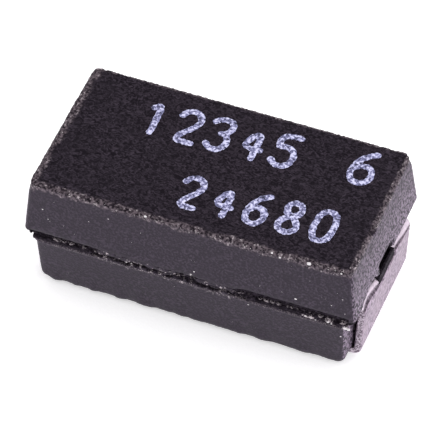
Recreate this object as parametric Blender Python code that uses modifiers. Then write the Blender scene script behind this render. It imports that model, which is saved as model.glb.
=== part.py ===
"""Moulded surface-mount resistor, standard 6 x 3.2 mm case, with folded sheet terminals.

Metres, +Z up. The long axis lies on X and the soldering feet stand on Z = 0.
The origin is the middle of the footprint. Inside the moulding, from the bottom up,
lie a ceramic substrate, a bonding layer, an etched foil grid with two solder joints,
the tabs of the two terminals, and a soft coat over the grid between those tabs.
"""
import math

import bmesh
import bpy
from mathutils import Matrix, Vector

MM = 0.001

# Moulded body, from the soldering plane upwards
OVERALL_LENGTH = 6.0 * MM  # over the outer faces of both terminals
BODY_WIDTH = 3.1 * MM  # widest, along the lower edge of the upper half
STANDOFF = 0.06 * MM  # underside of the body above the soldering plane
LOWER_HALF_HEIGHT = 1.03 * MM
PARTING_BAND_HEIGHT = 0.20 * MM
UPPER_HALF_HEIGHT = 1.11 * MM
TERMINAL_PROUD = 0.02 * MM  # terminal face beyond the widest edge of the body
UPPER_DRAFT = math.radians(5.2)  # lean of the upper walls, which frees the mould
LOWER_SIDE_DRAFT = math.radians(4.0)
LOWER_END_DRAFT = math.radians(1.5)
LOWER_SIDE_INSET = 0.02 * MM  # long walls of the lower half, behind those of the upper
BAND_INSET = 0.10 * MM  # parting band, behind the edge of the upper half
LEDGE_RISE = 0.02 * MM  # slope from the rim of the lower half to the foot of the band
FLASH_THICKNESS = 0.03 * MM
FLASH_PROUD = 0.05 * MM  # thin flash left along the parting band
CORNER_RADIUS = 0.10 * MM
TOP_EDGE_RADIUS = 0.07 * MM
LIP_RADIUS = 0.025 * MM
BOTTOM_EDGE_RADIUS = 0.10 * MM

# Folded terminals
SHEET_THICKNESS = 0.13 * MM
BEND_RADIUS = 0.05 * MM  # inside radius of both bends
TERMINAL_WIDTH = 2.2 * MM
FOOT_LENGTH = 1.3 * MM  # from the outer face to the tip under the body
PLATE_GAP = 0.08 * MM  # air between the plate and the lower end wall
PLATE_LEAN = math.radians(4.0)  # inwards, from the upper bend to the foot
WINDOW_WIDTH = 0.75 * MM  # opening that parts the lead into two legs
WINDOW_BELOW_BEND = 0.02 * MM
WINDOW_IN_BODY = 0.32 * MM  # stretch of the window that the moulding locks into
PLUG_BEHIND_PLATE = 0.02 * MM  # moulding that flowed out through the window, behind the plate's face
PLUG_SIDE_GAP = 0.02 * MM
PLUG_SKIN = 0.04 * MM  # moulding round the sink in the top of the plug
LIP_HOLLOW_DEPTH = 0.09 * MM  # how far the lip of the upper half stands back over the window
LIP_HOLLOW_HEIGHT = 0.24 * MM
SHOULDER_LENGTH = 0.25 * MM
TAB_WIDTH = 1.4 * MM
FOLD_SCORE_DEPTH = 0.03 * MM
FOLD_SCORE_ANGLE = math.radians(15.0)  # place of the score on the upper bend
SHEARED_EDGE = 0.012 * MM

# Resistor element
SUBSTRATE_LENGTH = 3.7 * MM
SUBSTRATE_WIDTH = 1.9 * MM
SUBSTRATE_THICKNESS = 0.45 * MM
SUBSTRATE_MARGIN = 0.1 * MM  # bare ceramic around the foil
BONDING_THICKNESS = 0.02 * MM
FOIL_THICKNESS = 0.03 * MM
PAD_LENGTH = 0.5 * MM
GRID_LINES = 13  # odd, so that the path ends at the far pad
GRID_GAP = 0.045 * MM  # etched gap between two lines, and between grid and pads
TAB_ON_PAD = 0.4 * MM
SOLDER_THICKNESS = 0.05 * MM
SOLDER_LENGTH = 0.32 * MM
SOLDER_FLARE = 0.03 * MM  # how far the joint spreads towards the pad
COAT_THICKNESS = 0.13 * MM
COAT_END_GAP = 0.05 * MM
COAT_EDGE_RADIUS = 0.05 * MM

# Fits
SEAT_GAP = 0.01 * MM  # between any two pieces that lie on or in each other
RECESS_SIDE_GAP = 0.05 * MM  # each side of a foot in its recess

# Facets of round edges and bends
CORNER_SEGMENTS = 4
EDGE_SEGMENTS = 3
BEND_SEGMENTS = 8
REACH = 0.4 * MM  # how far a cutting body runs past what it cuts

# Places that follow from the sizes
BODY_BOTTOM = STANDOFF
LOWER_TOP = BODY_BOTTOM + LOWER_HALF_HEIGHT
UPPER_BOTTOM = LOWER_TOP + PARTING_BAND_HEIGHT
BODY_TOP = UPPER_BOTTOM + UPPER_HALF_HEIGHT
END_FACE = OVERALL_LENGTH / 2
BODY_END = END_FACE - TERMINAL_PROUD
BODY_SIDE = BODY_WIDTH / 2
LOWER_END = END_FACE - SHEET_THICKNESS - PLATE_GAP
LOWER_SIDE = BODY_SIDE - LOWER_SIDE_INSET
BAND_END = BODY_END - BAND_INSET
BAND_SIDE = BODY_SIDE - BAND_INSET
LEAD_BOTTOM = LOWER_TOP
LEAD_TOP = LEAD_BOTTOM + SHEET_THICKNESS
OUTER_BEND = BEND_RADIUS + SHEET_THICKNESS
FOIL_LENGTH = SUBSTRATE_LENGTH - 2 * SUBSTRATE_MARGIN
FOIL_WIDTH = SUBSTRATE_WIDTH - 2 * SUBSTRATE_MARGIN
PAD_INNER = FOIL_LENGTH / 2 - PAD_LENGTH
TAB_TIP = FOIL_LENGTH / 2 - TAB_ON_PAD
WINDOW_INNER = BODY_END - WINDOW_IN_BODY
SHOULDER_INNER = WINDOW_INNER - SHOULDER_LENGTH
SOLDER_BASE = LEAD_BOTTOM - SEAT_GAP - SOLDER_THICKNESS
FOIL_BASE = SOLDER_BASE - SEAT_GAP - FOIL_THICKNESS
BONDING_BASE = FOIL_BASE - SEAT_GAP - BONDING_THICKNESS
SUBSTRATE_BASE = BONDING_BASE - SEAT_GAP - SUBSTRATE_THICKNESS
COAT_BASE = FOIL_BASE + FOIL_THICKNESS + SEAT_GAP
COAT_LENGTH = 2 * (TAB_TIP - COAT_END_GAP)


def clear_scene():
    for thing in list(bpy.data.objects):
        bpy.data.objects.remove(thing, do_unlink=True)


def new_collection(name):
    group = bpy.data.collections.new(name)
    bpy.context.scene.collection.children.link(group)
    return group


def new_material(name, colour, roughness, metallic=0.0):
    material = bpy.data.materials.new(name)
    material.use_nodes = True
    shader = material.node_tree.nodes["Principled BSDF"]
    shader.inputs["Base Color"].default_value = (*colour, 1.0)
    shader.inputs["Roughness"].default_value = roughness
    shader.inputs["Metallic"].default_value = metallic
    material.diffuse_color = (*colour, 1.0)
    return material


def mesh_from(bm, name):
    mesh = bpy.data.meshes.new(name)
    bm.to_mesh(mesh)
    bm.free()
    return mesh


def place(name, mesh, group, material=None, at=(0.0, 0.0, 0.0), turn=0.0):
    """Link one object into its collection, with its material and its place."""
    thing = bpy.data.objects.new(name, mesh)
    group.objects.link(thing)
    thing.location = at
    thing.rotation_euler = (0.0, 0.0, turn)
    if material and not mesh.materials:
        mesh.materials.append(material)
    return thing


def as_tool(name, mesh, tools):
    """A cutter or a joined form: it shapes another object and is not a piece."""
    tool = place(name, mesh, tools)
    tool.hide_render = True
    tool.display_type = "WIRE"
    return tool


def combine(target, tool, operation="DIFFERENCE"):
    step = target.modifiers.new(f"{operation.lower()} {tool.name}", "BOOLEAN")
    step.operation = operation
    step.solver = "EXACT"
    step.object = tool


def add_box(bm, low, high):
    """A box between two corners."""
    low = Vector(low)
    high = Vector(high)
    middle = Matrix.Translation((low + high) / 2)
    size = Matrix.Diagonal((*(high - low), 1.0))
    return bmesh.ops.create_cube(bm, size=1.0, matrix=middle @ size)["verts"]


def bevel(bm, edges, radius, segments):
    bmesh.ops.bevel(bm, geom=edges, offset=radius, offset_type="OFFSET", segments=segments,
                    profile=0.5, affect="EDGES", clamp_overlap=True, material=-1)


def edges_at_height(bm, height):
    near = 0.01 * SEAT_GAP
    return [e for e in bm.edges if all(abs(v.co.z - height) < near for v in e.verts)]


def rounded_outline(bm, height, end, side):
    """One flat face with round corners; end and side are half its length and half its width."""
    points = []
    for quarter, (along, across) in enumerate(((1, 1), (-1, 1), (-1, -1), (1, -1))):
        for k in range(CORNER_SEGMENTS + 1):
            angle = (quarter + k / CORNER_SEGMENTS) * math.pi / 2
            points.append((along * (end - CORNER_RADIUS) + CORNER_RADIUS * math.cos(angle),
                           across * (side - CORNER_RADIUS) + CORNER_RADIUS * math.sin(angle), height))
    return bm.faces.new([bm.verts.new(point) for point in points])


def round_edge(radius):
    """Steps of a quarter round, from a flat face to a wall: how far along and how far in."""
    angles = [k / EDGE_SEGMENTS * math.pi / 2 for k in range(EDGE_SEGMENTS + 1)]
    return [(radius * (1.0 - math.cos(a)), radius * (1.0 - math.sin(a))) for a in angles]


def lower_level(height, inset=0.0):
    below = LOWER_TOP - height
    end = LOWER_END - below * math.tan(LOWER_END_DRAFT) - inset
    side = LOWER_SIDE - below * math.tan(LOWER_SIDE_DRAFT) - inset
    return (height, end, side)


def upper_level(height, inset=0.0):
    inset += (height - UPPER_BOTTOM) * math.tan(UPPER_DRAFT)
    return (height, BODY_END - inset, BODY_SIDE - inset)


def band_level(height, proud=0.0):
    return (height, BAND_END + proud, BAND_SIDE + proud)


def moulding_levels():
    """Height, half length and half width of the moulding, from its underside to its top."""
    flash_low = (LOWER_TOP + UPPER_BOTTOM - FLASH_THICKNESS) / 2
    flash_high = flash_low + FLASH_THICKNESS
    levels = [lower_level(BODY_BOTTOM + rise, inset) for rise, inset in round_edge(BOTTOM_EDGE_RADIUS)]
    levels.append(lower_level(LOWER_TOP))
    levels.append(band_level(LOWER_TOP + LEDGE_RISE))
    levels.append(band_level(flash_low))
    levels.append(band_level(flash_low, FLASH_PROUD))
    levels.append(band_level(flash_high, FLASH_PROUD))
    levels.append(band_level(flash_high))
    levels.append(band_level(UPPER_BOTTOM))
    levels += [upper_level(UPPER_BOTTOM + rise, inset) for rise, inset in round_edge(LIP_RADIUS)]
    top_edge = reversed(round_edge(TOP_EDGE_RADIUS))
    levels += [upper_level(BODY_TOP - fall, inset) for fall, inset in top_edge]
    return levels


def grow_rim(bm, edges):
    """Extrude a run of edges in place, and give its new edges, points and faces."""
    grown = bmesh.ops.extrude_edge_only(bm, edges=edges)["geom"]
    verts = [g for g in grown if isinstance(g, bmesh.types.BMVert)]
    faces = [g for g in grown if isinstance(g, bmesh.types.BMFace)]
    rim = [g for g in grown if isinstance(g, bmesh.types.BMEdge) and set(g.verts) <= set(verts)]
    return rim, verts, faces


def lofted_block(levels):
    """Raise a round-cornered outline from level to level, each corner moving as a whole."""
    bm = bmesh.new()
    rim = list(rounded_outline(bm, *levels[0]).edges)
    for (_, end, side), (height, next_end, next_side) in zip(levels, levels[1:]):
        rim, verts, _ = grow_rim(bm, rim)
        for vert in verts:
            vert.co.x += (next_end - end) * math.copysign(1.0, vert.co.x)
            vert.co.y += (next_side - side) * math.copysign(1.0, vert.co.y)
            vert.co.z = height
    bmesh.ops.contextual_create(bm, geom=rim)
    bmesh.ops.recalc_face_normals(bm, faces=bm.faces)
    return bm


def box_mesh(name, low, high):
    bm = bmesh.new()
    add_box(bm, low, high)
    return mesh_from(bm, name)


def chip_mesh(name, length, width, thickness, edge=0.0, segments=1):
    """A flat chip on its own base plane, its upper edges broken if edge is given."""
    bm = bmesh.new()
    add_box(bm, (-length / 2, -width / 2, 0.0), (length / 2, width / 2, thickness))
    if edge:
        bevel(bm, edges_at_height(bm, thickness), edge, segments)
    return mesh_from(bm, name)


def arc(centre, radius, start, end):
    """Points of a round bend in the XZ plane, from one angle to another."""
    angles = [start + (end - start) * k / BEND_SEGMENTS for k in range(BEND_SEGMENTS + 1)]
    return [Vector((centre.x + radius * math.cos(a), 0.0, centre.z + radius * math.sin(a)))
            for a in angles]


def upper_bend_centre():
    return Vector((END_FACE - OUTER_BEND, 0.0, LEAD_TOP - OUTER_BEND))


def plate_down():
    """The way down the outer face of the plate."""
    return Vector((-math.sin(PLATE_LEAN), 0.0, -math.cos(PLATE_LEAN)))


def upper_bend():
    return arc(upper_bend_centre(), OUTER_BEND, math.pi / 2, -PLATE_LEAN)


def window_sill():
    """Where the window ends on the outer face of the plate, just below the upper bend."""
    return upper_bend()[-1] + plate_down() * WINDOW_BELOW_BEND


def terminal_stations():
    """Outer face of the folded sheet, seen from the side, inner tab first.

    Each station is a point and the zone of sheet that follows it.
    """
    outward = Vector((math.cos(PLATE_LEAN), 0.0, -math.sin(PLATE_LEAN)))
    down = plate_down()
    upper = upper_bend()
    sill = window_sill()
    foot_bend_height = OUTER_BEND * (1.0 - math.sin(PLATE_LEAN))
    plate_end = sill + down * ((sill.z - foot_bend_height) / math.cos(PLATE_LEAN))
    lower = arc(plate_end - outward * OUTER_BEND, OUTER_BEND, -PLATE_LEAN, -math.pi / 2)
    stations = [(Vector((TAB_TIP, 0.0, LEAD_TOP)), "tab")]
    stations.append((Vector((SHOULDER_INNER, 0.0, LEAD_TOP)), "shoulder"))
    stations.append((Vector((WINDOW_INNER, 0.0, LEAD_TOP)), "window"))
    stations += [(point, "window") for point in upper]
    stations += [(point, "plate") for point in [sill] + lower]
    stations.append((Vector((END_FACE - FOOT_LENGTH, 0.0, 0.0)), "end"))
    return stations


def slot_stations():
    """The flat stretch of the lead, a seat gap larger all round, run out past the end."""
    top = LEAD_TOP + SEAT_GAP
    return [
        (Vector((TAB_TIP - SEAT_GAP, 0.0, top)), "tab"),
        (Vector((SHOULDER_INNER - SEAT_GAP, 0.0, top)), "shoulder"),
        (Vector((WINDOW_INNER + SEAT_GAP, 0.0, top)), "window"),
        (Vector((END_FACE + REACH, 0.0, top)), "end"),
    ]


def swept_sheet(stations, grow=0.0):
    """Sweep a row of edges along the stations, then cut the tab and the window out of it."""
    full = TERMINAL_WIDTH / 2 + grow
    tab = TAB_WIDTH / 2 + grow
    window = WINDOW_WIDTH / 2 - grow
    bm = bmesh.new()
    start = stations[0][0]
    columns = sorted([-full, -tab, -window, window, tab, full])
    row = [bm.verts.new(start + Vector((0.0, y, 0.0))) for y in columns]
    edges = [bm.edges.new(pair) for pair in zip(row, row[1:])]
    waste = []
    for (here, zone), (there, _) in zip(stations, stations[1:]):
        edges, verts, faces = grow_rim(bm, edges)
        bmesh.ops.translate(bm, verts=verts, vec=there - here)
        for face in faces:
            across = abs(face.calc_center_median().y)
            cut_from_tab = zone == "tab" and across > tab
            cut_from_window = zone == "window" and across < window
            if cut_from_tab or cut_from_window:
                waste.append(face)
    bmesh.ops.delete(bm, geom=waste, context="FACES")
    bm.normal_update()
    highest = max(bm.faces, key=lambda f: f.calc_center_median().z)
    if highest.normal.z < 0.0:
        bmesh.ops.reverse_faces(bm, faces=bm.faces)
    return bm


def thicken(thing, thickness):
    """Give the swept sheet its thickness on the inner side of every bend."""
    step = thing.modifiers.new("sheet thickness", "SOLIDIFY")
    step.thickness = thickness
    step.offset = -1.0
    step.use_even_offset = True


def line_width():
    """Width of one line of the foil grid: what the etched gaps leave, shared out."""
    return (FOIL_WIDTH - (GRID_LINES - 1) * GRID_GAP) / GRID_LINES


def pad_gaps_mesh():
    """The two gaps between pads and grid; each leaves one end line joined to its pad."""
    line = line_width()
    bm = bmesh.new()
    for side in (-1, 1):
        near, far = sorted((side * PAD_INNER, side * (PAD_INNER - GRID_GAP)))
        kept_line = side * (FOIL_WIDTH / 2 - line)
        outside = -side * (FOIL_WIDTH / 2 + REACH)
        low, high = sorted((kept_line, outside))
        add_box(bm, (near, low, -FOIL_THICKNESS), (far, high, 2 * FOIL_THICKNESS))
    return mesh_from(bm, "pad_gaps")


def line_gaps_mesh():
    """The gaps between neighbouring lines, closed at the left and the right end by turns."""
    line = line_width()
    open_end = PAD_INNER - GRID_GAP / 2
    turn_end = PAD_INNER - GRID_GAP - line
    bm = bmesh.new()
    for k in range(GRID_LINES - 1):
        gap_low = -FOIL_WIDTH / 2 + (k + 1) * line + k * GRID_GAP
        left, right = (-turn_end, open_end) if k % 2 else (-open_end, turn_end)
        add_box(bm, (left, gap_low, -FOIL_THICKNESS), (right, gap_low + GRID_GAP, 2 * FOIL_THICKNESS))
    return mesh_from(bm, "line_gaps")


def solder_mesh():
    """A thin joint that spreads a little towards the pad it wets."""
    bm = bmesh.new()
    half_length = SOLDER_LENGTH / 2
    half_width = TAB_WIDTH / 2 - SOLDER_FLARE
    verts = add_box(bm, (-half_length, -half_width, 0.0), (half_length, half_width, SOLDER_THICKNESS))
    for vert in verts:
        if vert.co.z < SOLDER_THICKNESS / 2:
            vert.co.x += math.copysign(SOLDER_FLARE, vert.co.x)
            vert.co.y += math.copysign(SOLDER_FLARE, vert.co.y)
    return mesh_from(bm, "solder_joint")


def at_both_ends(body, mesh, tools, operation="DIFFERENCE"):
    """Combine the body with a form at its right end, and with the same form turned half round."""
    for turn in (0.0, math.pi):
        tool = as_tool(mesh.name, mesh, tools)
        tool.rotation_euler.z = turn
        combine(body, tool, operation)


def shape_windows(body, tools):
    """What flowed out between the legs, with a sink in its top, and the lip standing back above it."""
    half_width = WINDOW_WIDTH / 2 - PLUG_SIDE_GAP
    outer = window_sill().x - PLUG_BEHIND_PLATE
    under_lip = (LEAD_TOP + UPPER_BOTTOM) / 2
    plug = box_mesh("window_plug", (LOWER_END - CORNER_RADIUS, -half_width, window_sill().z + SEAT_GAP),
                    (outer, half_width, LEAD_TOP))
    at_both_ends(body, plug, tools, "UNION")
    sink_width = half_width - PLUG_SKIN
    sink = box_mesh("plug_sink", (BAND_END - PLUG_SKIN, -sink_width, LEAD_BOTTOM),
                    (outer - PLUG_SKIN, sink_width, under_lip))
    at_both_ends(body, sink, tools)
    bm = bmesh.new()
    hollow_top = UPPER_BOTTOM + LIP_HOLLOW_HEIGHT
    verts = add_box(bm, (BODY_END - LIP_HOLLOW_DEPTH, -half_width, under_lip),
                    (END_FACE + REACH, half_width, hollow_top))
    for vert in verts:
        if vert.co.x < BODY_END and vert.co.z > UPPER_BOTTOM:
            vert.co.x = BODY_END - LIP_HOLLOW_HEIGHT * math.tan(UPPER_DRAFT)
    at_both_ends(body, mesh_from(bm, "lip_hollow"), tools)


def cut_foot_recesses(body, tools):
    """Shallow recesses under both ends, in which the folded feet lie."""
    half_width = TERMINAL_WIDTH / 2 + RECESS_SIDE_GAP
    inner = END_FACE - FOOT_LENGTH - RECESS_SIDE_GAP
    ceiling = SHEET_THICKNESS + SEAT_GAP
    for side in (-1, 1):
        near, far = sorted((side * inner, side * (END_FACE + REACH)))
        recess = box_mesh("foot_recess", (near, -half_width, -REACH), (far, half_width, ceiling))
        combine(body, as_tool("foot_recess", recess, tools))


def cut_lead_slots(body, tools):
    """The way of each lead out of the moulding; the moulding fills the window between them."""
    mesh = mesh_from(swept_sheet(slot_stations(), grow=SEAT_GAP), "lead_slot")
    for turn in (0.0, math.pi):
        tool = as_tool("lead_slot", mesh, tools)
        tool.rotation_euler.z = turn
        thicken(tool, SHEET_THICKNESS + 2 * SEAT_GAP)
        combine(body, tool)


def cut_pocket(body, tools, name, length, width, base, height, middle=0.0):
    """The room that one inner piece takes up in the moulding."""
    low = (middle - length / 2 - SEAT_GAP, -width / 2 - SEAT_GAP, base - SEAT_GAP)
    high = (middle + length / 2 + SEAT_GAP, width / 2 + SEAT_GAP, base + height + SEAT_GAP)
    combine(body, as_tool(name, box_mesh(name, low, high), tools))


def solder_place():
    """Middle of a solder joint along the part, under the tip of the tab."""
    return TAB_TIP + TAB_ON_PAD / 2


def make_body(parts, tools):
    compound = new_material("moulding_compound", (0.035, 0.031, 0.036), 0.72)
    form = lofted_block(moulding_levels())
    body = place("moulded_body", mesh_from(form, "moulded_body"), parts, compound)
    shape_windows(body, tools)
    cut_foot_recesses(body, tools)
    cut_lead_slots(body, tools)
    cut_pocket(body, tools, "substrate_pocket", SUBSTRATE_LENGTH, SUBSTRATE_WIDTH,
               SUBSTRATE_BASE, SUBSTRATE_THICKNESS)
    cut_pocket(body, tools, "foil_pocket", FOIL_LENGTH, FOIL_WIDTH,
               BONDING_BASE, FOIL_BASE + FOIL_THICKNESS - BONDING_BASE)
    cut_pocket(body, tools, "coat_pocket", COAT_LENGTH, FOIL_WIDTH, COAT_BASE, COAT_THICKNESS)
    for side in (-1, 1):
        cut_pocket(body, tools, "solder_pocket", SOLDER_LENGTH + 2 * SOLDER_FLARE, TAB_WIDTH,
                   SOLDER_BASE, SOLDER_THICKNESS, side * solder_place())


def make_terminals(parts, tools):
    """Two alike folded sheets: tab, two legs past the window, plate and foot."""
    tin = new_material("tinned_copper", (0.50, 0.45, 0.48), 0.42, 1.0)
    mesh = mesh_from(swept_sheet(terminal_stations()), "terminal")
    centre = upper_bend_centre()
    score_x = centre.x + OUTER_BEND * math.cos(FOLD_SCORE_ANGLE)
    score_z = centre.z + OUTER_BEND * math.sin(FOLD_SCORE_ANGLE)
    lay_along_y = Matrix.Rotation(math.pi / 2, 4, "X")
    bm = bmesh.new()
    bmesh.ops.create_cone(bm, cap_ends=True, segments=4, radius1=FOLD_SCORE_DEPTH,
                          radius2=FOLD_SCORE_DEPTH, depth=TERMINAL_WIDTH + REACH,
                          matrix=Matrix.Translation((score_x, 0.0, score_z)) @ lay_along_y)
    score_mesh = mesh_from(bm, "fold_score")
    for name, turn in (("terminal_right", 0.0), ("terminal_left", math.pi)):
        terminal = place(name, mesh, parts, tin, turn=turn)
        thicken(terminal, SHEET_THICKNESS)
        sheared = terminal.modifiers.new("sheared edges", "BEVEL")
        sheared.width = SHEARED_EDGE
        sheared.segments = 1
        sheared.limit_method = "ANGLE"
        sheared.angle_limit = math.radians(60.0)
        score = as_tool(f"score_of_{name}", score_mesh, tools)
        score.rotation_euler.z = turn
        combine(terminal, score)


def make_element(parts, tools):
    """The resistor element: ceramic, bonding layer, foil grid, solder joints and soft coat."""
    ceramic = new_material("alumina", (0.80, 0.78, 0.73), 0.55)
    cement = new_material("bonding_cement", (0.42, 0.30, 0.14), 0.50)
    foil = new_material("resistance_foil", (0.58, 0.55, 0.52), 0.30, 1.0)
    solder = new_material("solder", (0.62, 0.62, 0.64), 0.35, 1.0)
    silicone = new_material("silicone_coat", (0.55, 0.13, 0.09), 0.45)
    place("ceramic_substrate", chip_mesh("ceramic_substrate", SUBSTRATE_LENGTH, SUBSTRATE_WIDTH,
          SUBSTRATE_THICKNESS), parts, ceramic, at=(0.0, 0.0, SUBSTRATE_BASE))
    place("bonding_layer", chip_mesh("bonding_layer", FOIL_LENGTH, FOIL_WIDTH,
          BONDING_THICKNESS), parts, cement, at=(0.0, 0.0, BONDING_BASE))
    grid = place("foil_element", chip_mesh("foil_element", FOIL_LENGTH, FOIL_WIDTH,
                 FOIL_THICKNESS), parts, foil, at=(0.0, 0.0, FOIL_BASE))
    for gaps in (pad_gaps_mesh(), line_gaps_mesh()):
        etch = as_tool(gaps.name, gaps, tools)
        etch.location.z = FOIL_BASE
        combine(grid, etch)
    joint = solder_mesh()
    place("solder_joint_right", joint, parts, solder, at=(solder_place(), 0.0, SOLDER_BASE))
    place("solder_joint_left", joint, parts, solder, at=(-solder_place(), 0.0, SOLDER_BASE))
    place("cushion_coat", chip_mesh("cushion_coat", COAT_LENGTH, FOIL_WIDTH, COAT_THICKNESS,
          COAT_EDGE_RADIUS, EDGE_SEGMENTS), parts, silicone, at=(0.0, 0.0, COAT_BASE))


def main():
    clear_scene()
    parts = new_collection("moulded_resistor")
    tools = new_collection("cutters")
    make_body(parts, tools)
    make_terminals(parts, tools)
    make_element(parts, tools)


main()
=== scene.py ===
# %% [markdown]
# # A moulded resistor, seen very close
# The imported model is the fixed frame: it gives the true form and place of every piece.
# This lesson dresses it. The two pieces that show, the moulding and the folded terminals, get a
# finer skin of the same form, and everything gets a finish built from nodes.

# %% Load the frame
import math
import random

import bmesh
import bpy
from mathutils import Matrix, Vector, noise


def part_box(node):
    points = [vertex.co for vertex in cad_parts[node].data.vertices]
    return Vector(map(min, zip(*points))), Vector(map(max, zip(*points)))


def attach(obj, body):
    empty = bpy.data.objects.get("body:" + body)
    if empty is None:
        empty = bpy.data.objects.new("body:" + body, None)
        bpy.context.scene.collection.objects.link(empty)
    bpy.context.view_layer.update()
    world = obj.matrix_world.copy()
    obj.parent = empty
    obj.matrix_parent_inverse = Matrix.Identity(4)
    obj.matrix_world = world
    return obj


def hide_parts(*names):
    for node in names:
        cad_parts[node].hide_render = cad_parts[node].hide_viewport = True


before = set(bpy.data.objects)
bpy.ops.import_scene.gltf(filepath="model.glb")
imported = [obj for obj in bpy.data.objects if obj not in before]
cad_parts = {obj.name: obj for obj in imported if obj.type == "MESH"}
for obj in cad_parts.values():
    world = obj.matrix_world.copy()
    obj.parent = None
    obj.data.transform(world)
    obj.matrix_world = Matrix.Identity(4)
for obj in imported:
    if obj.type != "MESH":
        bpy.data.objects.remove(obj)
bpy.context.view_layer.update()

MM = 0.001
body_low, body_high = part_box("moulded_body")
lead_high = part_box("terminal_right")[1]
print("body from", [round(c / MM, 3) for c in body_low], "to", [round(c / MM, 3) for c in body_high])
print("right terminal reaches", [round(c / MM, 3) for c in lead_high])

# %% [markdown]
# ## The camera
# The photograph was taken from far away with a long lens, so its lines hardly converge. The place of
# the camera was found by matching corners of the part: its turn round the part, its height above the
# horizon, a slight roll, and the distance. A camera could be aimed with a Track To constraint, but a
# matrix made of its three axes keeps the roll exact.

# %% Camera
PICTURE_SIDE = 444  # pixels
FOCAL_PIXELS = 4500
AZIMUTH = 0.393
ELEVATION = 0.841
ROLL = -0.021
DISTANCE = 75.21 * MM
AIM_RIGHT = 0.006 * MM
AIM_UP = -0.904 * MM


def make_camera():
    data = bpy.data.cameras.new("camera")
    data.lens = FOCAL_PIXELS / PICTURE_SIDE * data.sensor_width
    data.clip_start = 1 * MM
    data.clip_end = 10.0
    camera = bpy.data.objects.new("camera", data)
    bpy.context.scene.collection.objects.link(camera)
    back = Vector((math.sin(AZIMUTH) * math.cos(ELEVATION),
                   -math.cos(AZIMUTH) * math.cos(ELEVATION), math.sin(ELEVATION)))
    level = Vector((math.cos(AZIMUTH), math.sin(AZIMUTH), 0.0))
    upright = back.cross(level)
    right = math.cos(ROLL) * level + math.sin(ROLL) * upright
    up = math.cos(ROLL) * upright - math.sin(ROLL) * level
    place = back * DISTANCE + level * AIM_RIGHT + upright * AIM_UP + Vector((0.0, 0.0, body_high.z))
    turn = Matrix((right, up, back)).transposed().to_4x4()
    camera.matrix_world = Matrix.Translation(place) @ turn
    bpy.context.scene.camera = camera
    print("lens", round(data.lens, 1), "mm at", round(DISTANCE / MM, 1), "mm")


make_camera()

# %% [markdown]
# ## Light and floor
# Such parts are photographed in a white tent: light comes from everywhere, a little more from above
# and from the right. A white world gives the tent, and two large soft lamps give it a direction.
# The floor is a plain pale sheet with a faint paper grain.

# %% Helper for finishes
class Finish:
    """A material under construction. Its patterns are measured in millimetres on the object."""

    def __init__(self, name, colour, roughness, metallic=0.0):
        self.material = bpy.data.materials.new(name)
        self.material.use_nodes = True
        self.material.diffuse_color = (*colour, 1.0)
        self.tree = self.material.node_tree
        self.shader = self.tree.nodes["Principled BSDF"]
        self.set("Base Color", (*colour, 1.0))
        self.set("Roughness", roughness)
        self.set("Metallic", metallic)
        self.coordinates = self.tree.nodes.new("ShaderNodeTexCoord").outputs["Object"]

    def set(self, socket, value):
        self.shader.inputs[socket].default_value = value

    def plug(self, source, socket):
        self.tree.links.new(source, socket)

    def feed(self, socket, source):
        self.plug(source, self.shader.inputs[socket])

    def position(self, stretch=(1.0, 1.0, 1.0)):
        """Object coordinates in millimetres, stretched along an axis if wanted."""
        mapping = self.tree.nodes.new("ShaderNodeMapping")
        mapping.inputs["Scale"].default_value = [1.0 / (MM * s) for s in stretch]
        self.plug(self.coordinates, mapping.inputs["Vector"])
        return mapping.outputs["Vector"]

    def grain(self, size, detail=2.0, distortion=0.0, stretch=(1.0, 1.0, 1.0)):
        """Cloudy noise whose lumps are about `size` millimetres across."""
        texture = self.tree.nodes.new("ShaderNodeTexNoise")
        texture.inputs["Scale"].default_value = 1.0 / size
        texture.inputs["Detail"].default_value = detail
        texture.inputs["Distortion"].default_value = distortion
        self.plug(self.position(stretch), texture.inputs["Vector"])
        return texture.outputs["Fac"]

    def attribute(self, name):
        node = self.tree.nodes.new("ShaderNodeAttribute")
        node.attribute_name = name
        return node.outputs["Fac"]

    def span(self, source, start, end, low=0.0, high=1.0):
        """Turn the stretch from start to end into low to high, and hold it flat outside."""
        node = self.tree.nodes.new("ShaderNodeMapRange")
        node.clamp = True
        self.plug(source, node.inputs["Value"])
        for socket, value in (("From Min", start), ("From Max", end), ("To Min", low), ("To Max", high)):
            node.inputs[socket].default_value = value
        return node.outputs["Result"]

    def calculate(self, operation, first, second):
        node = self.tree.nodes.new("ShaderNodeMath")
        node.operation = operation
        for socket, value in zip(node.inputs, (first, second)):
            if isinstance(value, (int, float)):
                socket.default_value = value
            else:
                self.plug(value, socket)
        return node.outputs["Value"]

    def mix(self, factor, first, second):
        """Blend two colours; each is a colour or the output of another node."""
        node = self.tree.nodes.new("ShaderNodeMix")
        node.data_type = "RGBA"
        factor_in, a_in, b_in = node.inputs[0], node.inputs[6], node.inputs[7]
        self.plug(factor, factor_in)
        for socket, value in ((a_in, first), (b_in, second)):
            if isinstance(value, tuple):
                socket.default_value = (*value, 1.0)
            else:
                self.plug(value, socket)
        return node.outputs[2]

    def bump(self, heights):
        """Raise the surface by several patterns; each comes with its depth in millimetres."""
        normal = None
        for source, depth in heights:
            node = self.tree.nodes.new("ShaderNodeBump")
            node.inputs["Distance"].default_value = depth * MM
            self.plug(source, node.inputs["Height"])
            if normal:
                self.plug(normal, node.inputs["Normal"])
            normal = node.outputs["Normal"]
        self.feed("Normal", normal)


# %% Floor
FLOOR_SIDE = 4.0  # metres
FLOOR_GLOW = 0.42  # the light that a lit sheet of paper gives by itself
FLOOR_GAP = 0.004 * MM


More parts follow.
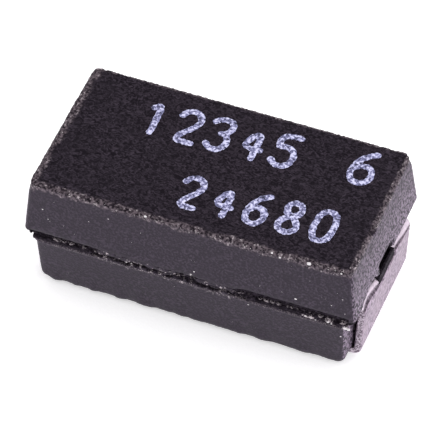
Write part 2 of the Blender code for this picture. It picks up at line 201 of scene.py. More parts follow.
def make_floor():
    bm = bmesh.new()
    just_below = Matrix.Translation((0.0, 0.0, -FLOOR_GAP))
    bmesh.ops.create_grid(bm, x_segments=1, y_segments=1, size=FLOOR_SIDE / 2, matrix=just_below)
    mesh = bpy.data.meshes.new("floor")
    bm.to_mesh(mesh)
    bm.free()
    floor = bpy.data.objects.new("floor", mesh)
    bpy.context.scene.collection.objects.link(floor)
    paper = Finish("paper", (0.92, 0.92, 0.93), 0.9)
    cloud = paper.grain(0.9, detail=3.0)
    paper.feed("Base Color", paper.mix(cloud, (0.90, 0.90, 0.91), (0.94, 0.94, 0.95)))
    paper.set("Emission Color", (1.0, 1.0, 1.0, 1.0))
    paper.set("Emission Strength", FLOOR_GLOW)
    paper.bump([(paper.grain(0.08), 0.002)])
    mesh.materials.append(paper.material)


make_floor()

# %% World and lamps
TENT_BRIGHTNESS = 0.85
LAMP_DISTANCE = 0.12  # metres
LAMP_SIDE = 0.08  # metres


def make_world():
    world = bpy.data.worlds.new("tent")
    world.use_nodes = True
    sky = world.node_tree.nodes["Background"]
    sky.inputs["Color"].default_value = (1.0, 0.99, 1.0, 1.0)
    sky.inputs["Strength"].default_value = TENT_BRIGHTNESS
    bpy.context.scene.world = world
    bpy.context.scene.view_settings.view_transform = "Standard"


def add_lamp(name, direction, watts):
    """A square soft lamp that looks at the part from a direction."""
    data = bpy.data.lights.new(name, "AREA")
    data.size = LAMP_SIDE
    data.energy = watts
    lamp = bpy.data.objects.new(name, data)
    bpy.context.scene.collection.objects.link(lamp)
    towards = Vector(direction).normalized()
    lamp.location = towards * LAMP_DISTANCE
    lamp.rotation_euler = towards.to_track_quat("Z", "Y").to_euler()


make_world()
add_lamp("top_lamp", (0.1, 0.35, 1.0), 0.030)
add_lamp("right_lamp", (1.0, -0.1, 0.30), 0.052)

# %% [markdown]
# ## A finer skin for the moulding
# The frame's moulding is exact but has few faces, and a rough cast surface needs many. Subdividing
# its long triangles would make slivers. Instead a copy is merged, its flat faces are made whole, and
# bisect_plane slices it along all three axes, closer together where the edges crumble. Each cut splits
# the faces in the middle first and then works on each half by itself, which is much faster than
# cutting everything from end to end. The underside and the hidden pockets are left as they are.

# %% Slicing helpers
WELD = 0.0001 * MM
FLAT = math.radians(0.5)
COARSER = 1.0  # quick tries take wider steps


def merged_copy(node):
    bm = bmesh.new()
    bm.from_mesh(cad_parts[node].data)
    bmesh.ops.remove_doubles(bm, verts=bm.verts, dist=WELD)
    bmesh.ops.dissolve_limit(bm, angle_limit=FLAT, verts=bm.verts, edges=bm.edges)
    bm.normal_update()
    return bm


def spaced(start, end, step):
    """Evenly spaced places after start and up to end, about one step apart.

    Start, end and step are in millimetres, and the places in metres, as the mesh needs them.
    """
    count = max(1, round((end - start) / (step * COARSER)))
    return [(start + (end - start) * k / count) * MM for k in range(1, count + 1)]


def geometry_of(faces):
    verts = {v for f in faces for v in f.verts}
    edges = {e for f in faces for e in f.edges}
    return list(verts) + list(edges) + list(faces)


def slice_up(bm, faces, axis, places):
    """Bisect faces at places along one axis, the middle place first; returns all faces that result."""
    if not places or not faces:
        return faces
    middle = len(places) // 2
    normal = Vector((0.0, 0.0, 0.0))
    normal[axis] = 1.0
    cut = bmesh.ops.bisect_plane(bm, geom=geometry_of(faces), plane_co=normal * places[middle],
                                 plane_no=normal, dist=WELD)["geom"]
    low, high = [], []
    for face in cut:
        if isinstance(face, bmesh.types.BMFace):
            below = face.calc_center_median()[axis] < places[middle]
            (low if below else high).append(face)
    return slice_up(bm, low, axis, places[:middle]) + slice_up(bm, high, axis, places[middle + 1:])


# %% Slice the moulding
# Sizes of the moulding in millimetres; heights and leans are those of its two halves
BOTTOM, TOP = body_low.z / MM, body_high.z / MM
END, SIDE = body_high.x / MM, body_high.y / MM
LEAD_TOP, LEAD_SIDE = lead_high.z / MM, lead_high.y / MM
BAND_LOW, BAND_HIGH = 1.09, 1.29
BAND_DEPTH = 0.10
UPPER_LEAN = math.tan(math.radians(5.2))
LOWER_LEAN = math.tan(math.radians(4.0))
RIM_END = END - (TOP - BAND_HIGH) * UPPER_LEAN
RIM_SIDE = SIDE - (TOP - BAND_HIGH) * UPPER_LEAN
LOWER_SIDE = SIDE - 0.02
POCKET_END = 2.6  # the hidden pockets end here along the part
FOOT_TOP = 0.3  # the underside and the foot recesses lie below this height
# Distances between slices
WALL_STEP = 0.05  # in height: plain walls
BAND_STEP = 0.016  # in height: parting band
RIM_STEP = 0.018  # in height: upper rims
SIDE_STEP = 0.02  # across: near both sides
TOP_STEP = 0.04  # across: the middle of the top
LENGTH_STEP = 0.021  # along the part


def is_outside(face):
    """Whether a face of the moulding gets a finer skin: not in a pocket or slot, nor the underside."""
    centre = face.calc_center_median() / MM
    in_height = FOOT_TOP < centre.z < LEAD_TOP + 0.02
    in_width = abs(centre.y) < LEAD_SIDE + 0.03
    flat_slot = abs(face.normal.z) > 0.99 and centre.z > BAND_LOW - 0.04
    hidden = in_height and in_width and (abs(centre.x) < POCKET_END or flat_slot)
    underside = face.normal.z < -0.9 and centre.z < FOOT_TOP
    return not (hidden or underside)


def slice_moulding():
    bm = merged_copy("moulded_body")
    faces = [f for f in bm.faces if is_outside(f)]
    band_end, rim_start = BAND_HIGH + 0.04, TOP - 0.15
    heights = spaced(BOTTOM, BAND_LOW, WALL_STEP) + spaced(BAND_LOW, band_end, BAND_STEP)
    heights += spaced(band_end, rim_start, WALL_STEP) + spaced(rim_start, TOP, RIM_STEP)
    faces = slice_up(bm, faces, 2, heights[:-1])
    rim = SIDE - 0.26
    widths = spaced(-SIDE, -rim, SIDE_STEP) + spaced(-rim, rim, TOP_STEP) + spaced(rim, SIDE, SIDE_STEP)
    faces = slice_up(bm, faces, 1, widths[:-1])
    slice_up(bm, faces, 0, spaced(-END, END, LENGTH_STEP)[:-1])
    bm.normal_update()
    print("moulding skin:", len(bm.faces), "faces")
    return bm


moulding = slice_moulding()

# %% [markdown]
# ## Wear and burrs
# A cast block is never crisp under a microscope. Its upper rims crumble into beads, the mould leaves a
# broken line of flash in the parting band, and over a stretch the two halves have flowed together with
# only a crack between them. Each zone of the block has a function below, which takes a point and its
# normal, and says where the point moves and how strongly it is marked. Some marks are painted light: a
# pale painted highlight along the top edge of the lower half, flakes painted white partly as glints, and
# the ends partly painted lighter, most of all lower down. Noise with fixed seeds keeps every run the
# same. The marks are stored as attributes of the points, so that the finish can follow the shape. From
# here on, places on the part are in millimetres.

# %% Noise helpers
def lumps(point, size, seed):
    """Smooth noise from about -1 to 1, with lumps of the given size."""
    return noise.noise(point / size + Vector((seed, 2.3 * seed, 0.7 * seed)))


def ramp(value, start, end):
    """0 at start, 1 at end, smooth between them."""
    t = min(1.0, max(0.0, (value - start) / (end - start)))
    return t * t * (3.0 - 2.0 * t)


def wall(widest, height):
    """Distance of a wall of the upper half from the middle of the part, at a height."""
    return widest - max(0.0, height - BAND_HIGH) * UPPER_LEAN


def outwards(p, axis):
    """Unit step away from the middle of the part along one axis."""
    step = Vector((0.0, 0.0, 0.0))
    step[axis] = math.copysign(1.0, p[axis])
    return step


# %% Upper rims
# Width of the crumbled strip and height of its beads: front, back, left and right
RIMS = {"front": (0.088, 0.022), "back": (0.07, 0.017), "left": (0.15, 0.012), "right": (0.075, 0.018)}
RIM_REACH = 0.25  # nothing crumbles further down than this
CHIP = Vector((2.86, -0.36, TOP - 0.03))
CHIP_RADIUS = 0.14
CHIP_DEPTH = 0.11
CORNER_RADIUS = 0.15


def crumbling(p):
    """How far the rims have crumbled at a point, from 0 to 1, and how high the beads stand there."""
    below = TOP - p.z
    ragged = 0.30 * lumps(p, 0.40, 3.0) + 0.35 * lumps(p, 0.12, 3.5) + 0.25 * lumps(p, 0.05, 4.0)
    strongest, highest = 0.0, 0.0
    for name, across in (("front", -p.y - RIM_SIDE), ("back", p.y - RIM_SIDE),
                         ("left", -p.x - RIM_END), ("right", p.x - RIM_END)):
        width, height = RIMS[name]
        strength = 1.0 - ramp(math.hypot(across, 0.8 * below) / width + ragged, 0.75, 1.1)
        highest = max(highest, strength * height)
        strongest = max(strongest, strength)
    return strongest, highest


def rounded_corner(p):
    """The step that brings a point near a corner onto a round, fading out downwards."""
    corner = Vector((abs(p.x) - RIM_END, abs(p.y) - RIM_SIDE, 0.0))
    corner += Vector((CORNER_RADIUS, CORNER_RADIUS, 0.0))
    if corner.x <= 0.0 or corner.y <= 0.0 or corner.length <= CORNER_RADIUS:
        return Vector()
    fade = 1.0 - ramp(TOP - p.z, 0.04, RIM_REACH)
    back = corner.normalized() * (corner.length - CORNER_RADIUS) * fade
    return -Vector((math.copysign(back.x, p.x), math.copysign(back.y, p.y), 0.0))


def upper_rims(p, n):
    if TOP - p.z > RIM_REACH:
        return Vector(), {}
    crumbled, bead_height = crumbling(p)
    beads = lumps(p, 0.05, 1.0) + 0.6 * lumps(p, 0.03, 2.0)
    bite = 1.0 - ramp((p - CHIP).length, 0.03, CHIP_RADIUS)
    move = n * (bead_height * beads - CHIP_DEPTH * bite) + rounded_corner(p)
    on_top = ramp(n.z, 0.8, 0.95) * (1.0 - crumbled)
    move += n * on_top * (0.0035 * lumps(p, 0.07, 5.0) + 0.002 * lumps(p, 0.2, 6.0))
    return move, {"rim": crumbled, "wear_and_highlight": crumbled * ramp(beads, 0.15, 0.75)}


# %% Parting band
CRACK_HEIGHT = 1.165  # where the halves have flowed together
SILT_HEIGHT = 1.172  # elsewhere the band is silted up to here
SILT_FILL = 0.72  # and so far towards the wall
FLASH_HEIGHT = 1.19  # the line of flash, where the mould parted
WORN_LOW, WORN_HIGH = 1.0, 1.62  # the band and its lips are worn between these heights
WORN_END = END - 0.11  # and not nearer to the ends than this
TORN_PLACE = -0.03  # there the crack is torn open
# Pale flakes caught in the band, painted white partly as glints on the torn flash: place along it,
# height, half length and half height
FLAKE_GLINTS = [(2.815, 1.115, 0.075, 0.035), (2.16, 1.135, 0.13, 0.022), (2.51, 1.165, 0.07, 0.030),
          (2.75, 1.20, 0.05, 0.012), (-0.12, 1.10, 0.05, 0.020), (-1.11, 1.20, 0.03, 0.014)]


def flowed_together(along):
    """1 where the two halves have joined, 0 where the band is open."""
    return ramp(along, -1.78, -1.55) * (1.0 - ramp(along, 0.70, 1.05))


def crack_line(along):
    """Height of the crack at a place along the band, half its width, and how far it is torn open."""
    wave = Vector((along, 0.0, 0.0))
    torn = 1.0 - ramp(abs(along - TORN_PLACE), 0.08, 0.26)
    centre = CRACK_HEIGHT + 0.045 * lumps(wave, 0.35, 10.0) + 0.040 * lumps(wave, 0.10, 11.0)
    half = 0.020 + 0.030 * lumps(wave, 0.12, 12.0)
    return centre + 0.055 * torn, half + 0.045 * torn, torn


def flake_glint_at(p, along):
    """How much the pale of the flakes shows, partly a painted glint; 0 between the flakes and on the
    back.
    """
    strongest = 0.0
    for place, height, half_long, half_high in FLAKE_GLINTS:
        spot = math.hypot((along - place) / half_long, (p.z - height) / half_high)
        spot += 0.35 * lumps(p, 0.035, 13.0)
        strongest = max(strongest, 2.0 * ramp(1.0 - spot, 0.0, 0.3))
    return strongest if p.y < 0.0 else 0.0


def silt_at(p, along):
    """How far dust fills the open band, up to an uneven height."""
    level = SILT_HEIGHT + 0.010 * lumps(Vector((along, 0.0, 0.0)), 0.10, 26.0)
    return SILT_FILL * (1.0 - flowed_together(along)) * (1.0 - ramp(p.z, level - 0.012, level + 0.012))


def eaten_lip(p, along, torn):
    """How much of the lip over the band is eaten away."""
    if p.z <= BAND_HIGH - 0.02:
        return 0.0
    height = BAND_HIGH + 0.02 + 0.03 * ramp(along, 0.8, 1.1)
    height += 0.015 * lumps(Vector((along, 0.0, 0.0)), 0.13, 14.0)
    open_lip = max(1.0 - flowed_together(along), torn * ramp(lumps(p, 0.05, 25.0), -0.3, 0.1))
    return open_lip * (1.0 - ramp(p.z, height - 0.02, height + 0.03))


def parting_band(p, n):
    """The long sides. The back is the front turned half round, so `along` is x in front and -x behind."""
    if abs(p.y) < SIDE - BAND_DEPTH - 0.02 or abs(p.x) > WORN_END or not WORN_LOW < p.z < WORN_HIGH:
        return Vector(), {}
    along = p.x if p.y < 0.0 else -p.x
    depth = SIDE - abs(p.y)
    proud = max(0.0, BAND_DEPTH - depth)
    joined = flowed_together(along)
    centre, half, torn = crack_line(along)
    closed = joined * ramp(abs(p.z - centre), half, half + 0.022)
    in_band = BAND_LOW - 0.02 < p.z < BAND_HIGH + 0.03
    # The flakes are painted pale, partly as real flakes and partly as glints.
    flake_glint = flake_glint_at(p, along)
    fill = 1.0 if flake_glint else closed * in_band
    if in_band and not fill:
        fill = silt_at(p, along)
    shift = fill * (depth - 0.012) * 0.95 - eaten_lip(p, along, torn) * proud * 0.8

    pale = flake_glint
    if abs(p.z - FLASH_HEIGHT) < 0.03 and depth < BAND_DEPTH - 0.003 and fill < 0.5:
        dashes = ramp(lumps(Vector((along, 0.0, 0.0)), 0.075, 16.0), -0.15, 0.35)
        shift -= (1.0 - dashes) * proud * 0.85
        pale = max(pale, 0.55 * dashes)
    # The top edge of the lower half is painted pale here as a highlight, where it catches the light.
    lower_edge = 1.0 - ramp(abs(p.z - BAND_LOW + 0.01), 0.015, 0.035)
    pale = max(pale, lower_edge * (0.18 + 0.45 * ramp(lumps(p, 0.06, 17.0), 0.25, 0.6)))
    beside_crack = ramp(lumps(p, 0.05, 18.0) - 4.0 * abs(p.z - centre), -0.15, 0.2)
    pale = max(pale, closed * beside_crack)
    rough = joined * in_band * 0.016 * lumps(p, 0.05, 19.0)
    return outwards(p, 1) * (shift + rough), {"wear_and_highlight": pale}


# %% Lips, lower edge and walls
LIP_WORN = 0.14  # how far the lip is worn up over one leg
LIP_FADES = 1.60  # the height at which that wear ends
HOLLOW_TOP = 1.56
HOLLOW_SIDE = 0.357
LOWER_WAVE = 0.026  # how far the bottom edge waves in and out
CORNER_LIFT = 0.07  # how far its corners are worn up


def across_terminal(p):
    """Place across a terminal; the left one is the right one turned half round."""
    return math.copysign(1.0, p.x) * p.y


def worn_leg(across):
    """1 in the middle of the leg over which the lip is worn away, 0 outside it."""
    start = ramp(-across, 0.36, 0.60)
    slope = 1.0 - 0.5 * ramp(-across, 0.75, 1.0)
    end = 1.0 - ramp(-across, 1.06, 1.14)
    return start * slope * end


def hollow_over_window(p, n):
    """The hollow above a window fades out to both sides."""
    in_height = BAND_HIGH - 0.01 < p.z < HOLLOW_TOP
    if abs(p.y) >= HOLLOW_SIDE or abs(p.x) <= END - BAND_DEPTH or not in_height:
        return Vector(), {}
    return outwards(p, 0) * max(0.0, wall(END, p.z) - abs(p.x)) * ramp(abs(p.y), 0.27, 0.355), {}


def lips_over_leads(p, n):
    """The lip over one leg of each terminal is worn up, along the lean of the wall."""
    if abs(p.x) < END - BAND_DEPTH - 0.01 or not BAND_HIGH - 0.01 < p.z < WORN_HIGH:
        return Vector(), {}
    up = LIP_WORN * worn_leg(across_terminal(p)) * (1.0 - ramp(p.z, BAND_HIGH, LIP_FADES))
    return Vector((0.0, 0.0, up)) - outwards(p, 0) * up * UPPER_LEAN, {}


def lower_edge(p, n):
    """The bottom edge is wavy, and its corners are worn round."""
    low = (1.0 - ramp(p.z, 0.12, 0.42)) * ramp(p.z, BOTTOM, BOTTOM + 0.03)
    if not low:
        return Vector(), {}
    flat = Vector((p.x, p.y, 0.0))
    wave = (lumps(flat, 0.24, 20.0) + 0.5 * lumps(flat, 0.11, 21.0)) * (1.0 - ramp(p.x, 2.3, 2.6))
    corner = 1.0 - ramp(p.x + 2.77, 0.0, 0.30) + 0.7 * ramp(p.x, 2.62, 2.80)
    return n * low * wave * LOWER_WAVE + Vector((0.0, 0.0, CORNER_LIFT)) * low * corner, {}


def walls(p, n):
    """Slow unevenness of the walls; the ends are marked for a coarser grain and a lighter colour, the
    colour partly painted light and strongest lower down.
    """
    # Both ends, found by their normals, get a coarser grain and a lighter colour painted on as light,
    # fading to half towards the top.
    sandy_and_painted_light = ramp(abs(n.x), 0.5, 0.9) * (1.0 - 0.5 * ramp(p.z, 1.3, TOP))
    push = 0.002 * lumps(p, 0.35, 22.0) + 0.003 * sandy_and_painted_light * lumps(p, 0.06, 23.0)
    return n * push * (1.0 - ramp(n.z, 0.5, 0.9)), {"sandy_and_painted_light": sandy_and_painted_light}


# %% Weather the moulding
RECESS_START, RECESS_TOP = 1.6, 0.16
MARKS = ("rim", "wear_and_highlight", "sandy_and_painted_light")
ZONES = (upper_rims, parting_band, hollow_over_window, lips_over_leads, lower_edge, walls)


def must_stay(p):
    """Points next to the leads and in the foot recesses keep the frame's exact form."""
    at_lead = abs(p.y) < LEAD_SIDE + 0.04 and BAND_LOW - 0.03 < p.z < LEAD_TOP + 0.03
    in_recess = p.z < RECESS_TOP and abs(p.x) > RECESS_START and abs(p.y) < LEAD_SIDE + 0.08
    return at_lead or in_recess


def weather(bm):
    layers = {mark: bm.verts.layers.float.new(mark) for mark in MARKS}
    moves = []
    for vert in bm.verts:
        p = vert.co / MM
        move = Vector()
        if not must_stay(p):
            for zone in ZONES:
                step, marks = zone(p, vert.normal)
                move += step
                for mark, strength in marks.items():
                    vert[layers[mark]] = max(vert[layers[mark]], strength)
        moves.append(move)
    for vert, move in zip(bm.verts, moves):
        vert.co += move * MM
    bm.normal_update()
    longest = max(move.length for move in moves)
    marked = {mark: sum(vert[layer] > 0.5 for vert in bm.verts) for mark, layer in layers.items()}
    print("weathered", len(moves), "points, the furthest moved by", round(longest, 3), "mm")
    print("points marked more than half:", marked)


weather(moulding)

# %% [markdown]
# ## The moulding compound
# Black epoxy filled with glass powder. The mould leaves the walls smooth, so they catch a soft violet
# grey sheen, and the ends a sandier one; on the ends a lighter colour is also painted on as light, most
# of all lower down. The top is roughened for printing: duller, darker and mottled. Gloss is one number
# for a whole shader, so the top gets a shader of its own, and the same dark shader is painted shade in
# the recess of the parting band, its crack, the chip and the windows. Both share the way the rim and wear
# marks mix in brown dust and pale specks, which are broken filler and also painted highlights and glints.

# %% Moulding finish
SMOOTH_EDGE_ANGLE = math.radians(50.0)
PRINTED_DEPTH = 0.045  # the roughening for the print ends this far below the top
SHEEN_TINT = (0.90, 0.76, 1.0, 1.0)


def worn_and_highlit_colour(epoxy, colour):
    """Brown dust along the rims, and pale specks: filler where the surface has cracked, and also the
    painted highlight along the lower half's top edge and the painted glints on the flakes.
    """
    dust = epoxy.span(epoxy.grain(0.050, detail=3.0), 0.42, 0.62)
    dust = epoxy.mix(dust, (0.010, 0.007, 0.010), (0.140, 0.112, 0.128))
    colour = epoxy.mix(epoxy.attribute("rim"), colour, dust)
    speckle = epoxy.span(epoxy.grain(0.026, detail=2.0), 0.46, 0.58)
    # The pale mix is cracked filler in part and painted highlight in part: along the top edge of the
    # lower half and on the glinting flakes.
    broken_and_highlit = epoxy.calculate("MULTIPLY", epoxy.attribute("wear_and_highlight"), speckle)
    return epoxy.mix(broken_and_highlit, colour, (0.55, 0.48, 0.51))


def wall_finish():
    """Smooth on the long walls; on the ends a coarser grain, and a lighter colour that is partly painted
    light.
    """
    epoxy = Finish("moulding_compound", (0.020, 0.0155, 0.0225), 0.55)
    epoxy.set("Specular IOR Level", 0.40)
    epoxy.set("Specular Tint", SHEEN_TINT)
    fine = epoxy.grain(0.042, detail=3.0)
    sand = epoxy.grain(0.040, detail=3.0, stretch=(1.0, 1.0, 1.2))
    cloud = epoxy.grain(0.5, detail=2.0)
    smooth = epoxy.mix(epoxy.span(fine, 0.44, 0.70), (0.006, 0.004, 0.007), (0.056, 0.044, 0.062))
    smooth = epoxy.mix(epoxy.span(cloud, 0.35, 0.7, 0.0, 0.4), smooth, (0.015, 0.011, 0.017))
    # This much lighter colour on the ends is partly painted light.
    gritty_and_lit = epoxy.mix(epoxy.span(sand, 0.43, 0.59), (0.004, 0.002, 0.006), (0.255, 0.200, 0.270))
    sandy_and_painted_light = epoxy.attribute("sandy_and_painted_light")
    epoxy.feed("Base Color", worn_and_highlit_colour(epoxy, epoxy.mix(sandy_and_painted_light, smooth, gritty_and_lit)))
    epoxy.feed("Roughness", epoxy.span(fine, 0.3, 0.7, 0.46, 0.68))
    epoxy.bump([(fine, 0.009), (epoxy.calculate("MULTIPLY", sand, sandy_and_painted_light), 0.018)])
    return epoxy.material


def rough_and_shade_finish():
    """Duller and darker: for the roughened top, and as painted shade in the recess of the parting band,
    its crack, the chip and the windows.
    """
    epoxy = Finish("roughened_compound_and_painted_shade", (0.012, 0.009, 0.013), 0.9)
    epoxy.set("Specular IOR Level", 0.22)
    epoxy.set("Specular Tint", SHEEN_TINT)
    mottle = epoxy.grain(0.060, detail=4.0, distortion=1.5, stretch=(1.3, 0.9, 1.0))
    fine = epoxy.grain(0.022, detail=2.0)
    cloud = epoxy.grain(0.6, detail=2.0)
    colour = epoxy.mix(epoxy.span(mottle, 0.42, 0.66), (0.003, 0.0018, 0.0035), (0.040, 0.031, 0.043))
    colour = epoxy.mix(epoxy.span(cloud, 0.35, 0.7, 0.0, 0.3), colour, (0.010, 0.0075, 0.0105))
    epoxy.feed("Base Color", worn_and_highlit_colour(epoxy, colour))
    epoxy.feed("Roughness", epoxy.span(mottle, 0.3, 0.7, 0.95, 0.78))
    epoxy.bump([(mottle, 0.022), (fine, 0.005)])
    return epoxy.material


def finished(bm, name, materials, slot, *nodes):
    """Make a piece of a bmesh: smooth between soft edges, riding on the part, in place of its nodes."""
    mesh = bpy.data.meshes.new(name)
    bm.to_mesh(mesh)
    bm.free()
    mesh.shade_smooth()
    mesh.set_sharp_from_angle(angle=SMOOTH_EDGE_ANGLE)
    for material in materials:
        mesh.materials.append(material)
    piece = bpy.data.objects.new(name, mesh)
    bpy.context.scene.collection.objects.link(piece)
    if nodes:
        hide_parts(*nodes)
    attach(piece, "root")
    triangles = sum(len(f.vertices) - 2 for f in mesh.polygons)
    print(name, triangles, "triangles")


def is_rough_or_painted_shade(face):
    """The roughened top; and, as painted shade, the bottom of the parting band with its crack, the chip,
    and what a window shows.
    """
    centre = face.calc_center_median() / MM
    on_top = centre.z > TOP - PRINTED_DEPTH
    depth = min(wall(SIDE, centre.z) - abs(centre.y), wall(END, centre.z) - abs(centre.x))
    in_band = BAND_LOW < centre.z < BAND_HIGH + 0.16 and depth > 0.035
    in_window = 0.9 < centre.z < BAND_HIGH and abs(centre.y) < HOLLOW_SIDE + 0.013
    in_chip = (centre - CHIP).length < 0.8 * CHIP_RADIUS
    return on_top or in_band or in_window or in_chip


# The top takes the darker shader for its real roughening; the band, crack, chip and windows take it as
# painted shade.
for face in moulding.faces:
    face.material_index = int(is_rough_or_painted_shade(face))
finished(moulding, "cast_moulding", [wall_finish(), rough_and_shade_finish()], "moulding_compound", "moulded_body")

# %% [markdown]
# ## Grains of filler
# Here and there a grain of the glass filler stands in the surface and shines almost white. On a part this
# small each grain is a real bump, so it is modelled: a tiny ball half sunk in the wall. The ones that
# stand out are listed one by one, and their white is partly painted glint, put where small bright glints
# sit on the walls, the flash and the rims. The fine dust along rims and walls is scattered with a fixed
# seed.

# %% Grains
# Grains that stand out on the front, white partly as painted glints: place along the part, height, radius
FRONT_GRAINS_AND_GLINTS = [
    (-2.62, 1.88, 0.017), (-2.52, 1.69, 0.012), (-1.78, 1.90, 0.012), (-1.43, 2.09, 0.014),
    (0.12, 1.45, 0.016), (0.06, 1.37, 0.016), (1.93, 1.50, 0.024), (2.56, 1.59, 0.014),
    (2.65, 1.90, 0.010), (2.75, 1.79, 0.012), (2.80, 1.48, 0.011), (1.08, 1.00, 0.016),
    (2.72, 0.85, 0.014), (-2.04, 1.52, 0.009), (1.29, 1.56, 0.010), (2.13, 2.37, 0.036),
    (1.62, 2.33, 0.024), (1.48, 2.38, 0.020), (-0.77, 2.38, 0.024), (2.70, 2.36, 0.016),
    (0.74, 1.06, 0.014), (2.80, 1.115, 0.038), (2.86, 1.105, 0.030), (2.50, 1.15, 0.022),
    (2.56, 1.13, 0.014), (2.20, 1.13, 0.016), (2.10, 1.145, 0.014), (2.28, 1.115, 0.012),
    (-1.11, 1.19, 0.012), (-1.02, 1.20, 0.010),
]
GRAIN_SUNK = 0.3  # part of its radius by which such a grain is sunk in the wall
DUST_COUNT = 130
DUST_RADIUS = (0.003, 0.007)
DUST_REACH = 2.7  # how far along the part the dust lies
AT_RIM = 0.45  # share of the dust that gathers at the rims
AT_BACK = 0.4  # share that lies on the back, and the rest on the front
SQUASH = Matrix.Diagonal((1.3, 0.8, 0.9, 1.0))


def front_wall(height):
    """Distance of the front wall from the middle of the part, at a height."""
    if height > BAND_HIGH:
        return wall(SIDE, height)
    return LOWER_SIDE - (BAND_LOW - height) * LOWER_LEAN


def grain_places():
    places = [(Vector((x, -front_wall(z) + GRAIN_SUNK * r, z)), r) for x, z, r in FRONT_GRAINS_AND_GLINTS]
    dice = random.Random(7)
    for _ in range(DUST_COUNT):
        radius = dice.uniform(*DUST_RADIUS)
        x, z = dice.uniform(-DUST_REACH, DUST_REACH), dice.uniform(FOOT_TOP, TOP - 0.08)
        if dice.random() < AT_RIM:
            z = TOP - abs(dice.gauss(0.02, 0.05))
        if BAND_LOW - 0.03 < z < BAND_HIGH + 0.2:
            continue
        side = 1.0 if dice.random() < AT_BACK else -1.0
        places.append((Vector((x, side * front_wall(z), z)), radius))
    return places


def scatter_grains():
    bm = bmesh.new()
    places = grain_places()
    for place, radius in places:
        set_in = Matrix.Translation(place * MM) @ SQUASH
        bmesh.ops.create_icosphere(bm, subdivisions=1, radius=radius * MM, matrix=set_in)
    print("grains:", len(places))
    return bm


def grain_and_glint_finish():
    # A near white, partly the filler and partly painted glint.
    glass_and_glint = Finish("filler_and_painted_glints", (0.80, 0.76, 0.79), 0.35)
    cloud = glass_and_glint.grain(0.02, detail=2.0)
    glass_and_glint.feed("Base Color", glass_and_glint.mix(cloud, (0.62, 0.57, 0.60), (0.90, 0.88, 0.90)))
    glass_and_glint.feed("Roughness", glass_and_glint.span(cloud, 0.3, 0.7, 0.25, 0.5))
    return glass_and_glint.material


finished(scatter_grains(), "filler_grains_and_glints", [grain_and_glint_finish()], "moulding_compound")

# %% [markdown]
# ## The folded terminals
# Each is one strip of tin-plated copper, stamped, threaded through the mould and folded down. The frame
# has its true folds, window and score. A finer copy is needed so that the bends turn smoothly, the
# score wanders as a hand-set tool leaves it, and the sheared edges are torn into beads.

# %% Terminals
SHEET = 0.13  # thickness of the strip
OUTER_BEND = 0.18  # outer radius of the upper bend
SCORE_ANGLE = math.radians(15.0)  # the score lies this far round the bend
BULGE = 0.05  # how far the skin of the bend is pushed up under the worn lip
TERMINAL_STEP = 0.03
LEAD_END = lead_high.x / MM
SCORE_X = LEAD_END - OUTER_BEND + OUTER_BEND * math.cos(SCORE_ANGLE)
SCORE_Z = LEAD_TOP - OUTER_BEND + OUTER_BEND * math.sin(SCORE_ANGLE)


def wander(y):
    """How far the score strays up the bend, at a place across the terminal."""
    jitter = 0.006 * lumps(Vector((y, 0.0, 0.0)), 0.09, 40.0)
    if y > 0.0:
        return 0.045 - 0.085 * ramp(y, 0.4, 1.05) + jitter
    return 0.005 + 0.065 * ramp(-y, 0.33, 0.85) - 0.035 * ramp(-y, 0.93, 1.1) + jitter


def strayed(p, from_score):
    """The step by which the score and what lies near it turn about the axis of the bend."""
    right = math.copysign(1.0, p.x)
    middle = Vector((right * (LEAD_END - OUTER_BEND), p.y, LEAD_TOP - OUTER_BEND))
    turn = -right * (1.0 - ramp(from_score, 0.02, 0.17)) * wander(across_terminal(p)) / OUTER_BEND
    return Matrix.Rotation(turn, 3, "Y") @ (p - middle) - (p - middle)


def wear_terminal(bm):
    new_layer = bm.verts.layers.float.new
    sheared, painted_crease_shade, painted_highlight = new_layer("sheared"), new_layer("painted_crease_shade"), new_layer("painted_highlight")
    moves = []
    for vert in bm.verts:
        p = vert.co / MM
        from_score = math.hypot(abs(p.x) - SCORE_X, p.z - SCORE_Z)
        share = sum(abs(f.normal.y) > 0.9 for f in vert.link_faces) / len(vert.link_faces)
        vert[sheared] = share
        # The score is marked for painted shade, and what lies above it for a painted highlight.
        vert[painted_crease_shade] = 1.0 - ramp(from_score, 0.014, 0.032)
        vert[painted_highlight] = ramp(p.z, SCORE_Z + 0.01, SCORE_Z + 0.05)
        move = strayed(p, from_score)
        over_bend = ramp(abs(p.x), 2.875, 2.915) * ramp(p.z, 1.04, 1.16)
        move.z += BULGE * worn_leg(across_terminal(p)) * over_bend
        move += outwards(p, 1) * share * 0.007 * lumps(p, 0.035, 41.0)
        if p.z > SHEET and abs(p.x) > 2.5:
            move += vert.normal * 0.0015 * lumps(p, 0.10, 42.0)
        moves.append(move)
    for vert, move in zip(bm.verts, moves):
        vert.co += move * MM


def slice_terminal(node):
    bm = merged_copy(node)
    low, high = (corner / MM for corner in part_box(node))
    faces = list(bm.faces)
    for axis in (2, 1, 0):
        faces = slice_up(bm, faces, axis, spaced(low[axis], high[axis], TERMINAL_STEP)[:-1])
    bm.normal_update()
    wear_terminal(bm)
    bm.normal_update()
    return bm


